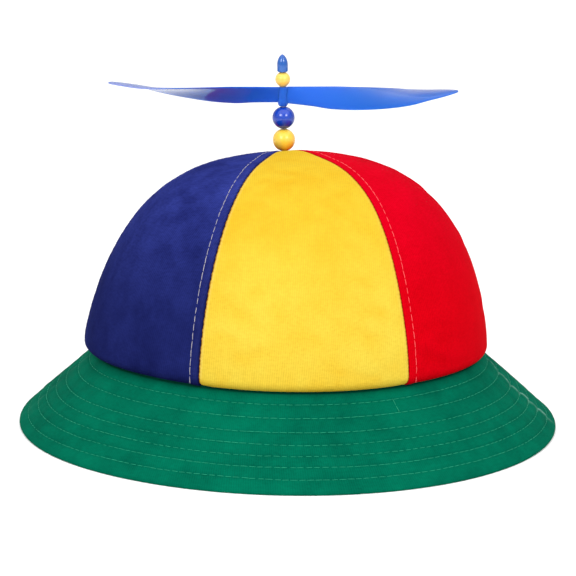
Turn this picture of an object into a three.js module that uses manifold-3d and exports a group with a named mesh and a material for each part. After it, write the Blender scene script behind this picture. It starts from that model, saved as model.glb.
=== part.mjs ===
import * as THREE from 'three';
import { mergeVertices } from 'three/addons/utils/BufferGeometryUtils.js';
import Module from 'manifold-3d';

// Bucket hat of six crown panels and a sloping brim, with a propeller between beads on a pin.
// Millimetres, +Z up. The hat faces -Y and its brim rests on z = 0.

// Crown
const crownHalfWidth = 94.7; // outside, side to side, at the widest line
const depthRatio = 1.06; // front to back over side to side
const widestHeight = 41.3; // widest line above the resting plane
const crownRise = 84; // widest line up to the top
const shoulderPower = 3.19; // squareness of the meridian, outwards
const sidePower = 1.57; // squareness of the meridian, upwards
const peakRise = 3.8; // gentle point of the top
const peakPower = 3;
const topLean = { x: 1.5, y: 5.2 }; // middle of the top, from the brim's centre
const topTilt = { left: 0.6, back: 4.3 }; // degrees that the top slopes
const footBulge = 2.4; // extra width low on the left side
const sideDrop = { left: 2.9, right: 2 }; // brim seam at the sides, below the seam at the front
const sideFocus = 6; // power that gathers the bulge and the drops at the sides
const footFocus = 5; // power that keeps them low on the crown
const tuckRadius = 4.3; // curl of the crown's foot over the brim seam
const crownWall = 1.5;
const seamGap = 0.4; // between neighbouring panels
const tipGap = 0.1; // panel tips beyond the pin's clearance
const seamDip = { depth: 0.5, width: 3.5 }; // hollow along each seam
const sideSweep = { from: 30, foot: 6, climb: 18, fade: 0.15 }; // degrees that the side seams swing back
const panelColumns = 10;
const tuckRows = 3;
const domeRows = 14;
const gatherPasses = 6; // passes that carry a panel's plan onto the dome

// Brim
const brimReach = 34; // outer edge beyond the crown's widest line
const brimGap = 0.4; // under the crown's foot
const brimSwing = { forward: 5, power: 4 }; // outer edge pulled towards the front on the left side
const brimWall = 2.4;
const brimEdgeRound = 0.9;
const brimSides = 72;

// Pin, and the pieces stacked on it from the crown upwards
const pinShift = { x: -3.2, y: 18, power: 2.4 }; // where the panels meet, from the middle of the top
const pinLean = { left: 2, forward: 0.9 }; // degrees
const pinDimple = { depth: 0.25, width: 7 }; // cloth pressed down around the pin
const pinRadius = 1;
const pinHead = { radius: 6, thickness: 1.2, depth: 3.4 }; // depth of its upper face below the crown
const boreClearance = 0.3; // around the pin in the cloth, the beads and the cap
const crownGap = 0.4; // lowest bead above the crown
const stackGap = 0.3; // between neighbours on the pin
const beadRadius = 5.4;
const smallBeadRadius = 3.6;
const beadSides = 16;
const cap = { radius: 2.65, length: 8.4, straight: 3.1, chamfer: 0.6, boreDepth: 5 };
const capNose = { steps: 6, upPower: 1.8, outPower: 1.4 }; // pointed arch

// Propeller
const hub = { neck: 2.15, length: 9.3, clearance: 0.4, sides: 20 };
const hubFoot = { radius: 2.55, lip: 1.5, height: 2.2, top: 4.4, steps: 4 }; // bulb under the neck
const hubRock = 2.45; // degrees to the right, within the hub's play on the pin
const restTurn = -4.5; // degrees about the hub's axis
const blade = {
  thickness: 1.1,
  edgeShare: 0.55, // thickness at the edges over the middle's
  camber: 0.05, // bow of a section over its chord
  leadShare: 0.45, // share of a section ahead of the blade's axis
  steps: 18,
  chordShares: [0, 0.12, 0.37, 0.63, 0.88, 1],
};

// Blade sections: distance from the axis, width and drop from leading to trailing edge,
// and how far the leading edge lies below the hub's top.
const bladeSections = [
  { radius: 1.9, width: 2.2, drop: 7.8, below: -0.1 },
  { radius: 14, width: 6.2, drop: 8.6, below: -0.15 },
  { radius: 24, width: 10, drop: 9.5, below: -0.15 },
  { radius: 34, width: 13.6, drop: 9.1, below: 0.1 },
  { radius: 44, width: 17.4, drop: 7.9, below: 0.4 },
  { radius: 54, width: 19.8, drop: 6.2, below: 0.75 },
  { radius: 62, width: 20.4, drop: 4.2, below: 1.15 },
  { radius: 69, width: 19.2, drop: 2.3, below: 1.05 },
  { radius: 76, width: 15.2, drop: 1.2, below: 0.55 },
  { radius: 80.4, width: 10.2, drop: 0.5, below: 0.25 },
  { radius: 82.6, width: 6, drop: 0.2, below: 0.1 },
  { radius: 83.5, width: 2, drop: 0.1, below: 0.05 },
];

// Colours of the cloth and the mouldings
const clothYellow = '#fbd83f';
const clothRed = '#df0a1e';
const clothBlue = '#2a3380';
const clothGreen = '#067a5c';
const beadYellow = '#fbd84e';
const paleYellow = '#fbe67c';
const beadBlue = '#3a52c4';
const propellerBlue = '#3f76e0';
const capBlue = '#4a80d8';
const steel = '#b8bcc2';

// Crown panels: turn of each panel's middle from the front towards +X, in degrees
const panels = [
  { name: 'front', turn: 0, colour: clothYellow },
  { name: 'front_right', turn: 60, colour: clothRed },
  { name: 'back_right', turn: 120, colour: clothBlue },
  { name: 'back', turn: 180, colour: clothYellow },
  { name: 'back_left', turn: 240, colour: clothRed },
  { name: 'front_left', turn: 300, colour: clothBlue },
];

const wasm = await Module();
wasm.setup();

const { clamp, degToRad, lerp, radToDeg } = THREE.MathUtils;
const boreRadius = pinRadius + boreClearance;
const tipSpread = (boreRadius + tipGap) / crownHalfWidth; // where the panel tips stop around the pin
const steps = (count) => Array.from({ length: count + 1 }, (_, step) => step / count);

// Closed body through a row of sections. A section is a loop whose first half faces its second half.
function loft(sections, isRing = false) {
  const size = sections[0].length;
  const indices = [];
  const corner = (row, column) => (row % sections.length) * size + (column % size);
  const quad = (a, b, c, d) => indices.push(a, b, c, a, c, d);
  const lastRow = isRing ? sections.length : sections.length - 1;
  for (let row = 0; row < lastRow; row++) {
    for (let column = 0; column < size; column++) {
      quad(
        corner(row, column),
        corner(row, column + 1),
        corner(row + 1, column + 1),
        corner(row + 1, column),
      );
    }
  }
  if (!isRing) {
    for (let column = 0; column < size / 2 - 1; column++) {
      const facing = size - 1 - column;
      quad(corner(0, column), corner(0, facing), corner(0, facing - 1), corner(0, column + 1));
      quad(
        corner(lastRow, column),
        corner(lastRow, column + 1),
        corner(lastRow, facing - 1),
        corner(lastRow, facing),
      );
    }
  }
  const geometry = new THREE.BufferGeometry().setFromPoints(sections.flat());
  geometry.setIndex(indices);
  geometry.computeVertexNormals();
  return geometry;
}

// Body of revolution about +Z from a profile of [radius, height] pairs
function turned(profile, sides) {
  const points = profile.map(([radius, height]) => new THREE.Vector2(radius, height));
  return new THREE.LatheGeometry(points, sides).rotateX(Math.PI / 2);
}

// Points of a round arc in a profile, angles in degrees from the outward direction
function arc(centreRadius, centreHeight, radius, from, to, count) {
  return steps(count).map((share) => {
    const angle = degToRad(lerp(from, to, share));
    return [centreRadius + radius * Math.cos(angle), centreHeight + radius * Math.sin(angle)];
  });
}

function joined(geometries) {
  const solids = geometries.map((geometry) => {
    const bare = geometry.clone();
    bare.deleteAttribute('normal');
    bare.deleteAttribute('uv');
    const merged = mergeVertices(bare);
    return new wasm.Manifold(new wasm.Mesh({
      numProp: 3,
      vertProperties: merged.attributes.position.array,
      triVerts: Uint32Array.from(merged.index.array),
    }));
  });
  const mesh = solids.reduce((whole, solid) => whole.add(solid)).getMesh();
  const geometry = new THREE.BufferGeometry();
  geometry.setAttribute('position', new THREE.BufferAttribute(mesh.vertProperties, 3));
  geometry.setIndex(new THREE.BufferAttribute(mesh.triVerts, 1));
  geometry.computeVertexNormals();
  return geometry;
}

function piece(name, geometry, color, roughness, metalness = 0) {
  const mesh = new THREE.Mesh(geometry, new THREE.MeshStandardMaterial({ color, roughness, metalness }));
  mesh.name = name;
  return mesh;
}

// Shape of the crown. Angles run from the front towards +X, and spread is 1 at the widest line.
const domeLevel = (spread) => (1 - Math.min(spread, 1) ** shoulderPower) ** (1 / sidePower);
const smooth = (share) => share * share * (3 - 2 * share);
const bulgeAt = (angle) => footBulge * Math.max(0, -Math.sin(angle)) ** sideFocus;

function dropAt(angle) {
  const side = Math.sin(angle);
  return (side < 0 ? sideDrop.left : sideDrop.right) * side ** sideFocus;
}

function domePoint(angle, spread) {
  const level = domeLevel(spread);
  const foot = (1 - level) ** footFocus;
  const x = (crownHalfWidth + bulgeAt(angle) * foot) * spread * Math.sin(angle);
  const y = -crownHalfWidth * depthRatio * spread * Math.cos(angle);
  const slope = x * Math.tan(degToRad(topTilt.left)) - y * Math.tan(degToRad(topTilt.back));
  const peak = peakRise * (1 - spread) ** peakPower;
  return new THREE.Vector3(
    x + topLean.x * level ** 2,
    y + topLean.y * level ** 2,
    widestHeight + crownRise * level + smooth(level) * slope + peak - dropAt(angle) * foot,
  );
}

// The side seams swing towards the back, more so higher up, and come straight again at the pin.
function sweptAngle(angle, spread) {
  const turn = Math.atan2(Math.sin(angle), Math.cos(angle));
  const start = degToRad(sideSweep.from);
  const share = clamp((Math.abs(turn) - start) / (Math.PI - 2 * start), 0, 1);
  const fade = smooth(clamp(spread / sideSweep.fade, 0, 1));
  const swing = fade * degToRad(sideSweep.foot + sideSweep.climb * (1 - spread));
  return angle + Math.sign(turn) * swing * Math.sin(Math.PI * share) ** 2;
}

// The panels run up the dome to the pin, which stands behind the middle of the top.
function panelPoint(angle, spread) {
  const gather = clamp((1 - spread) / (1 - tipSpread), 0, 1) ** pinShift.power;
  const level = domeLevel(spread) ** 2;
  const planX = crownHalfWidth * spread * Math.sin(angle) + topLean.x * level + pinShift.x * gather;
  const planY = topLean.y * level + pinShift.y * gather
    - crownHalfWidth * depthRatio * spread * Math.cos(angle);
  let domeSpread = spread;
  let domeAngle = angle;
  for (let pass = 0; pass < gatherPasses; pass++) {
    const lean = domeLevel(domeSpread) ** 2;
    const across = (planX - topLean.x * lean) / crownHalfWidth;
    const forward = (topLean.y * lean - planY) / (crownHalfWidth * depthRatio);
    domeSpread = Math.min(1, Math.hypot(across, forward));
    domeAngle = Math.atan2(across, forward);
  }
  const point = domePoint(domeAngle, domeSpread);
  point.z -= pinDimple.depth * Math.exp(-((spread * crownHalfWidth / pinDimple.width) ** 2));
  return point;
}

// Meridian from the crown's foot to the pin: radius of the dome, inset of the foot's curl, and climb
class CrownMeridian extends THREE.Curve {
  constructor() {
    super();
    this.arcLengthDivisions = 1000;
    this.curlShare = 0.05;
    this.endAngle = Math.acos(tipSpread ** (shoulderPower / 2));
  }

  getPoint(along, target = new THREE.Vector3()) {
    if (along < this.curlShare) {
      const turn = (1 - along / this.curlShare) * Math.PI / 2;
      const inset = tuckRadius * (1 - Math.cos(turn));
      return target.set(crownHalfWidth, inset, -tuckRadius * Math.sin(turn));
    }
    const angle = this.endAngle * (along - this.curlShare) / (1 - this.curlShare);
    const spread = Math.cos(angle) ** (2 / shoulderPower);
    return target.set(crownHalfWidth * spread, 0, crownRise * domeLevel(spread));
  }
}

const meridian = new CrownMeridian();
const tuckShare = tuckRadius * Math.PI / 2 / meridian.getLength();

// Outside of the crown at a panel angle and a share of the meridian
function crownPoint(panelAngle, along) {
  const { x: domeRadius, z: climb } = meridian.getPointAt(along);
  const spread = domeRadius / crownHalfWidth;
  const angle = sweptAngle(panelAngle, spread);
  const curl = Math.min(1, Math.max(0, -climb) / tuckRadius);
  const inset = (tuckRadius + bulgeAt(angle)) * (1 - Math.sqrt(1 - curl ** 2));
  const point = panelPoint(angle, spread);
  point.x -= inset * Math.sin(angle);
  point.y += inset * Math.cos(angle);
  point.z -= tuckRadius * curl;
  return point;
}

function crownNormal(angle, along) {
  const step = 0.001;
  const across = crownPoint(angle + step, along).sub(crownPoint(angle - step, along));
  const above = crownPoint(angle, Math.min(1, along + step));
  const upwards = above.sub(crownPoint(angle, Math.max(0, along - step)));
  return across.cross(upwards).normalize();
}

function crownPanel(turn) {
  const halfPanel = Math.PI / panels.length;
  const columns = steps(panelColumns).map((share) => Math.sin(Math.PI * (share - 0.5)));
  const tuck = steps(tuckRows).map((share) => share * tuckShare);
  const dome = steps(domeRows).map((share) => lerp(tuckShare, 1, share));
  const sections = [...tuck, ...dome.slice(1)].map((along) => {
    const radius = meridian.getPointAt(along).x;
    const edge = halfPanel - seamGap / 2 / radius;
    const fade = Math.min(1, panels.length * radius / crownHalfWidth);
    const atDepth = (share, depth) => {
      const angle = degToRad(turn) + share * edge;
      const fromSeam = (1 - Math.abs(share)) * edge * radius;
      const dip = fade * seamDip.depth * Math.exp(-((fromSeam / seamDip.width) ** 2));
      return crownPoint(angle, along).addScaledVector(crownNormal(angle, along), -dip - depth);
    };
    const outside = columns.map((share) => atDepth(share, 0));
    const inside = columns.map((share) => atDepth(share, crownWall)).reverse();
    return [...outside, ...inside];
  });
  return loft(sections);
}

function brimRing() {
  const sections = steps(brimSides).slice(1).map((share) => {
    const angle = 2 * Math.PI * share;
    const seamHeight = widestHeight - tuckRadius - brimGap - dropAt(angle);
    const slope = Math.atan2(seamHeight - brimEdgeRound, brimReach + tuckRadius);
    const underside = brimWall / Math.sin(slope);
    const swing = brimSwing.forward * Math.max(0, -Math.sin(angle)) ** brimSwing.power;
    const profile = [
      [-tuckRadius, seamHeight],
      [brimReach, brimEdgeRound],
      [brimReach - brimEdgeRound / 3, brimEdgeRound / 3],
      [brimReach - brimEdgeRound, 0],
      [brimReach - underside, 0],
      [-tuckRadius - underside, seamHeight],
    ];
    return profile.map(([reach, height]) => new THREE.Vector3(
      (crownHalfWidth + reach) * Math.sin(angle),
      -(crownHalfWidth * depthRatio + reach) * Math.cos(angle)
        - swing * (reach + tuckRadius) / (brimReach + tuckRadius),
      height,
    ));
  });
  return loft(sections, true);
}

// Drilled pieces stand on z = 0 and centre on the pin.
const beadLength = (radius) => 2 * Math.sqrt(radius ** 2 - boreRadius ** 2);

function drilledBead(radius) {
  const boreAngle = radToDeg(Math.acos(boreRadius / radius));
  const outline = arc(0, beadLength(radius) / 2, radius, -boreAngle, boreAngle, beadSides / 2);
  return turned([...outline, outline[0]], beadSides);
}

function propellerBlade() {
  const outline = new THREE.CatmullRomCurve3(
    bladeSections.map(({ radius, width, drop }) => new THREE.Vector3(radius, width, drop)));
  const leadingEdge = new THREE.CatmullRomCurve3(
    bladeSections.map(({ radius, below }) => new THREE.Vector3(radius, 0, hub.length - below)));
  const sections = steps(blade.steps).map((along) => {
    const { x: radius, y: width, z: drop } = outline.getPoint(along);
    const leadHeight = leadingEdge.getPoint(along).z;
    const chord = Math.hypot(width, drop);
    const across = (share, side) => {
      const bow = 4 * share * (1 - share);
      const half = blade.thickness / 2 * lerp(blade.edgeShare, 1, Math.sqrt(bow));
      const offset = blade.camber * chord * bow + side * half;
      return new THREE.Vector3(
        radius,
        (blade.leadShare - share) * width - offset * drop / chord,
        leadHeight - share * drop + offset * width / chord,
      );
    };
    const upper = blade.chordShares.map((share) => across(share, 1));
    const lower = blade.chordShares.map((share) => across(share, -1)).reverse();
    return [...upper, ...lower];
  });
  return loft(sections);
}

function propellerHub() {
  const bore = pinRadius + hub.clearance;
  const bulb = steps(hubFoot.steps).map((share) => {
    const turn = share * Math.PI / 2;
    return [lerp(hubFoot.lip, hubFoot.radius, Math.sin(turn)), hubFoot.height * (1 - Math.cos(turn))];
  });
  return turned([
    [bore, 0],
    ...bulb,
    [hub.neck, hubFoot.top],
    [hub.neck, hub.length],
    [bore, hub.length],
    [bore, 0],
  ], hub.sides);
}

function noseCap() {
  const nose = steps(capNose.steps).map((share) => {
    const rise = Math.sin(share * Math.PI / 2);
    const radius = cap.radius * (1 - rise ** capNose.upPower) ** (1 / capNose.outPower);
    return [radius, lerp(cap.straight, cap.length, rise)];
  });
  return turned([
    [0, cap.boreDepth],
    [boreRadius, cap.boreDepth],
    [boreRadius, 0],
    [cap.radius - cap.chamfer, 0],
    [cap.radius, cap.chamfer],
    ...nose,
  ], beadSides);
}

function headedPin(top) {
  const headTop = -pinHead.depth;
  return turned([
    [0, headTop - pinHead.thickness],
    [pinHead.radius, headTop - pinHead.thickness],
    [pinHead.radius, headTop],
    [pinRadius, headTop],
    [pinRadius, top],
    [0, top],
  ], beadSides);
}

const hat = new THREE.Group();
for (const { name, turn, colour } of panels) {
  hat.add(piece(`crown_panel_${name}`, crownPanel(turn), colour, 0.85));
}
hat.add(piece('brim', brimRing(), clothGreen, 0.85));

const spindle = new THREE.Group();
spindle.position.copy(crownPoint(0, 1).lerp(crownPoint(Math.PI, 1), 0.5));
spindle.rotation.set(degToRad(pinLean.forward), -degToRad(pinLean.left), 0);
hat.add(spindle);

let stackHeight = crownGap;
function stack(mesh, length) {
  mesh.position.z += stackHeight;
  spindle.add(mesh);
  stackHeight += length + stackGap;
}

stack(piece('bead_lower', drilledBead(beadRadius), beadYellow, 0.25), beadLength(beadRadius));
stack(piece('bead_middle', drilledBead(beadRadius), beadBlue, 0.25), beadLength(beadRadius));

const propellerShape = joined([propellerHub(), propellerBlade(), propellerBlade().rotateZ(Math.PI)]);
propellerShape.translate(0, 0, -hub.length / 2);
const propeller = piece('propeller', propellerShape, propellerBlue, 0.2);
propeller.position.z = hub.length / 2;
propeller.rotation.set(0, degToRad(hubRock), degToRad(restTurn));
stack(propeller, hub.length);

stack(piece('bead_upper', drilledBead(smallBeadRadius), paleYellow, 0.25), beadLength(smallBeadRadius));
const pinTop = stackHeight + cap.boreDepth - stackGap;
stack(piece('nose_cap', noseCap(), capBlue, 0.2), cap.length);
spindle.add(piece('pin', headedPin(pinTop), steel, 0.35, 1));

export default hat;
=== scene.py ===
import math
import bmesh
import bpy
import numpy as np
from mathutils import Matrix, Vector


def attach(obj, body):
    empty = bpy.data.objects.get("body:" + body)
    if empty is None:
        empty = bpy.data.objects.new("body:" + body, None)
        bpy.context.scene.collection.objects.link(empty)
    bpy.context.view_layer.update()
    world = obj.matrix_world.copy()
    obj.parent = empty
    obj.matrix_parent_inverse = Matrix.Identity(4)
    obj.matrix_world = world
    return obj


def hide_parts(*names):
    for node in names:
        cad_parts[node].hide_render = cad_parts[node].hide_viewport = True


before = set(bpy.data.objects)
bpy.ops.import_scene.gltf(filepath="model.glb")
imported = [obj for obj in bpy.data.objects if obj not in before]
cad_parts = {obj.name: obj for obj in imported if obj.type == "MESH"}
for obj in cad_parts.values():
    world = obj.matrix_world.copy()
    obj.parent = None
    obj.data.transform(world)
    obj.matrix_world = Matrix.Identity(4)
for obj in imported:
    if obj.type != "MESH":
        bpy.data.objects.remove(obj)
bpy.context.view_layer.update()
mm = 0.001  # the sizes below are millimetres


def newObject(name, data):
    thing = bpy.data.objects.new(name, data)
    bpy.context.scene.collection.objects.link(thing)
    return thing


def awayAt(turn, rise):
    # unit step away from the hat, turned from its front towards +X and then raised
    return Vector((math.sin(turn) * math.cos(rise), -math.cos(turn) * math.cos(rise), math.sin(rise)))


# Camera at the photograph's angle
view = {
    "azimuth": -4.54, "elevation": 12.17, "roll": 0.86,  # degrees
    "distance": 1319.42, "aimHeight": 63.45, "aimAside": -0.72,
    "lens": 173.1, "sensor": 36.0,
}


def placeCamera():
    turn, rise, roll = (math.radians(view[key]) for key in ("azimuth", "elevation", "roll"))
    back = awayAt(turn, rise)
    right = Vector((math.cos(turn), math.sin(turn), 0))
    up = back.cross(right)
    imageRight = right * math.cos(roll) + up * math.sin(roll)
    imageUp = up * math.cos(roll) - right * math.sin(roll)
    aim = Vector((0, 0, view["aimHeight"])) + right * view["aimAside"]
    spot = (aim + back * view["distance"]) * mm
    data = bpy.data.cameras.new("camera")
    data.lens = view["lens"]
    data.sensor_width = view["sensor"]
    data.sensor_fit = "HORIZONTAL"
    data.clip_start, data.clip_end = 0.05, 50
    camera = newObject("camera", data)
    camera.matrix_world = Matrix((
        (imageRight.x, imageUp.x, back.x, spot.x),
        (imageRight.y, imageUp.y, back.y, spot.y),
        (imageRight.z, imageUp.z, back.z, spot.z),
        (0, 0, 0, 1)))
    bpy.context.scene.camera = camera


placeCamera()
print("camera: placed")


# Small tools for meshes
def smoothStep(low, high, value):
    share = np.clip((np.asarray(value, float) - low) / (high - low), 0, 1)
    return share * share * (3 - 2 * share)


def bump(value, centre, width):
    return np.exp(-((np.asarray(value, float) - centre) / width) ** 2)


def latticeNoise(points, size, seed):
    # smooth noise from -1 to 1 on a lattice of the given size
    scaled = np.asarray(points, float) / size
    cell = np.floor(scaled).astype(np.int64)
    share = scaled - cell
    share = share * share * (3 - 2 * share)
    total = 0
    for corner in range(8):
        step = np.array([corner & 1, corner >> 1 & 1, corner >> 2 & 1])
        i, j, k = np.moveaxis(cell + step, -1, 0)
        code = (i * 73856093 ^ j * 19349663 ^ k * 83492791 ^ seed * 40503) & 0xFFFFFFFF
        code = (code ^ code >> 15) * 2246822519 & 0xFFFFFFFF
        code = (code ^ code >> 13) * 3266489917 & 0xFFFFFFFF
        value = ((code ^ code >> 16) & 0xFFFF) / 32767.5 - 1
        total = total + value * np.prod(np.where(step, share, 1 - share), axis=-1)
    return total


def stacked(*values):
    return np.stack(np.broadcast_arrays(*values), axis=-1)


def alongTable(value, places, heights):
    # smooth curve through a table, flat slopes at its peaks
    places, heights = np.asarray(places, float), np.asarray(heights, float)
    rise = np.diff(heights) / np.diff(places)
    slope = np.concatenate([[rise[0]], (rise[1:] + rise[:-1]) / 2, [rise[-1]]])
    slope[1:-1] = np.where(rise[1:] * rise[:-1] <= 0, 0, slope[1:-1])
    spot = np.clip(np.searchsorted(places, value) - 1, 0, len(places) - 2)
    width = places[spot + 1] - places[spot]
    t = np.clip((value - places[spot]) / width, 0, 1)
    return ((2 * t ** 3 - 3 * t ** 2 + 1) * heights[spot] + (t ** 3 - 2 * t ** 2 + t) * width * slope[spot]
            + (3 * t ** 2 - 2 * t ** 3) * heights[spot + 1] + (t ** 3 - t ** 2) * width * slope[spot + 1])


def loopFaces(rows, size, isRing=False):
    # quads between neighbouring sections, which are closed loops
    first = np.arange(rows if isRing else rows - 1)[:, None]
    column = np.arange(size)[None, :]
    beside = (column + 1) % size
    here, after = first * size, (first + 1) % rows * size
    return stacked(here + column, here + beside, after + beside, after + column).reshape(-1, 4)


def endFaces(start, size, isLast):
    # quads that close a loop whose first half faces its second half
    near = start + np.arange(size // 2 - 1)
    far = start + size - 1 - np.arange(size // 2 - 1)
    corners = (near, near + 1, far - 1, far) if isLast else (near, far, far - 1, near + 1)
    return np.stack(corners, axis=-1)


def shellFaces(rows, size):
    return np.concatenate([loopFaces(rows, size), endFaces(0, size, False),
                           endFaces((rows - 1) * size, size, True)])


def makePiece(name, points, faces, material, values=None, sharpAngle=50):
    mesh = bpy.data.meshes.new(name)
    mesh.from_pydata((np.asarray(points).reshape(-1, 3) * mm).tolist(), [], [list(face) for face in faces])
    mesh.validate()
    for key, numbers in (values or {}).items():
        numbers = np.asarray(numbers, np.float32)
        isVector = numbers.ndim > 1 and numbers.shape[-1] == 3
        count = numbers.size // (3 if isVector else 1)
        layer = mesh.attributes.new(key, "FLOAT_VECTOR" if isVector else "FLOAT",
                                    "POINT" if count == len(mesh.vertices) else "CORNER")
        layer.data.foreach_set("vector" if isVector else "value", numbers.reshape(-1))
    mesh.shade_smooth()
    mesh.set_sharp_from_angle(angle=math.radians(sharpAngle))
    mesh.materials.append(material)
    return newObject(name, mesh)


def turnedPiece(name, profile, sides, material, place, sharpAngle=40):
    # body of revolution from [radius, height] pairs, which run round its outline
    profile = np.asarray(profile, float)
    angle = np.linspace(0, 2 * np.pi, sides, endpoint=False)
    ring = stacked(np.cos(angle), np.sin(angle))
    points = np.empty((len(profile), sides, 3))
    points[..., :2] = profile[:, 0, None, None] * ring[None]
    points[..., 2] = profile[:, 1, None]
    faces = loopFaces(len(profile), sides)
    piece = makePiece(name, place(points.reshape(-1, 3)), faces, material, sharpAngle=sharpAngle)
    form = bmesh.new()
    form.from_mesh(piece.data)
    bmesh.ops.remove_doubles(form, verts=form.verts, dist=1e-7)
    bmesh.ops.recalc_face_normals(form, faces=form.faces)
    form.to_mesh(piece.data)
    form.free()
    piece.data.shade_smooth()
    piece.data.set_sharp_from_angle(angle=math.radians(sharpAngle))
    return piece


def roundArc(centre, radius, start, end, count):
    angle = np.radians(np.linspace(start, end, count))
    return [[centre[0] + radius * math.cos(a), centre[1] + radius * math.sin(a)] for a in angle]


def settle(piece, body, node=None):
    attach(piece, body)
    if node:
        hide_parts(node)


# Materials
def addNode(tree, kind, sockets, settings=None, output=0):
    # sockets take another node's output or a plain value
    node = tree.nodes.new(kind)
    for key, value in (settings or {}).items():
        setattr(node, key, value)
    for key, value in sockets.items():
        if isinstance(value, bpy.types.NodeSocket):
            tree.links.new(value, node.inputs[key])
        else:
            node.inputs[key].default_value = value
    return node.outputs[output]


class Finish:
    # a material, with short names for the nodes that these finishes share
    def __init__(self, name, **sockets):
        self.material = bpy.data.materials.new(name)
        self.material.use_nodes = True
        self.tree = self.material.node_tree
        self.shader = self.tree.nodes["Principled BSDF"]
        self.place = self.add("TexCoord", {}, output="Object")
        for key, value in sockets.items():
            self.shader.inputs[key].default_value = value

    def add(self, kind, sockets, settings=None, output=0):
        return addNode(self.tree, "ShaderNode" + kind, sockets, settings, output)

    def drive(self, key, output):
        self.tree.links.new(output, self.shader.inputs[key])

    def maths(self, operation, first, second):
        return self.add("Math", {0: first, 1: second}, {"operation": operation})

    def plus(self, first, second):
        return self.maths("ADD", first, second)

    def minus(self, first, second):
        return self.maths("SUBTRACT", first, second)

    def times(self, first, second):
        return self.maths("MULTIPLY", first, second)

    def mix(self, factor, first, second, kind="MIX"):
        first, second = ((*tone, 1) if isinstance(tone, tuple) else tone for tone in (first, second))
        return self.add("Mix", {0: factor, 6: first, 7: second}, {"data_type": "RGBA", "blend_type": kind}, 2)

    def noise(self, scale, detail=2, roughness=0.5, vector=None):
        return self.add("TexNoise", {"Scale": scale, "Detail": detail, "Roughness": roughness,
                                     "Vector": self.place if vector is None else vector})

    def laid(self, vector, **change):
        return self.add("Mapping", {"Vector": vector, **change})

    def wave(self, vector, turn, pitch, wander):
        # bands of the given pitch, turned in the cloth's own plane
        turned = self.laid(vector, Rotation=(0, 0, math.radians(turn)))
        return self.add("TexWave", {"Vector": turned, "Scale": math.pi / 10 / pitch, "Distortion": wander,
                                    "Detail": 1, "Detail Scale": 0.6},
                        {"wave_type": "BANDS", "bands_direction": "X"}, "Fac")

    def attribute(self, name, output="Fac"):
        return self.add("Attribute", {}, {"attribute_name": name}, output)

    def climb(self, low, high):
        # 0 below the low height and 1 above the high one, in millimetres
        height = self.add("SeparateXYZ", {0: self.place}, output="Z")
        return self.add("MapRange", {"Value": height, "From Min": low * mm, "From Max": high * mm},
                        {"interpolation_type": "SMOOTHSTEP"})

    def emboss(self, height, strength, distance):
        sockets = {"Height": height, "Strength": strength, "Distance": distance}
        self.drive("Normal", self.add("Bump", sockets))


twill = {
    "ribPitch": 1.0, "ribTurn": 5, "ribWander": 1.5, "ribHeight": 0.45,  # degrees from across the cloth
    "yarnPitch": 0.6, "yarnTurn": 88, "yarnWander": 0.8, "yarnHeight": 0.2,
    "slubScale": (0.45, 0.9, 1.0), "slubLevel": 0.23, "slubHeight": 1.3,  # thick places in the yarn
    "strength": 0.5, "relief": 0.00015,  # metres
    "shade": 0.72, "shadeFloor": 0.25, "shadeTint": 0.5,  # dark between the ribs
    "nipPitch": 1.7, "nipWander": 0.6, "nipDepth": 0.45,  # the painted seam shade, deeper where the cloth is nipped between the seam's own stitches
    "patches": ((34, 2, 0.55), (120, 3, 0.45)),  # scale, detail and share of the mottling
    # the pucker shade paints shade into the puckers and at the crown's foot
    "patchLevel": 0.36, "patchGain": 3.4, "puckerShade": 0.26,
    "paintedTopFrom": 60, "paintedTopTo": 125,  # millimetres, the heights over which the painted top tone comes in
}


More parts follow.
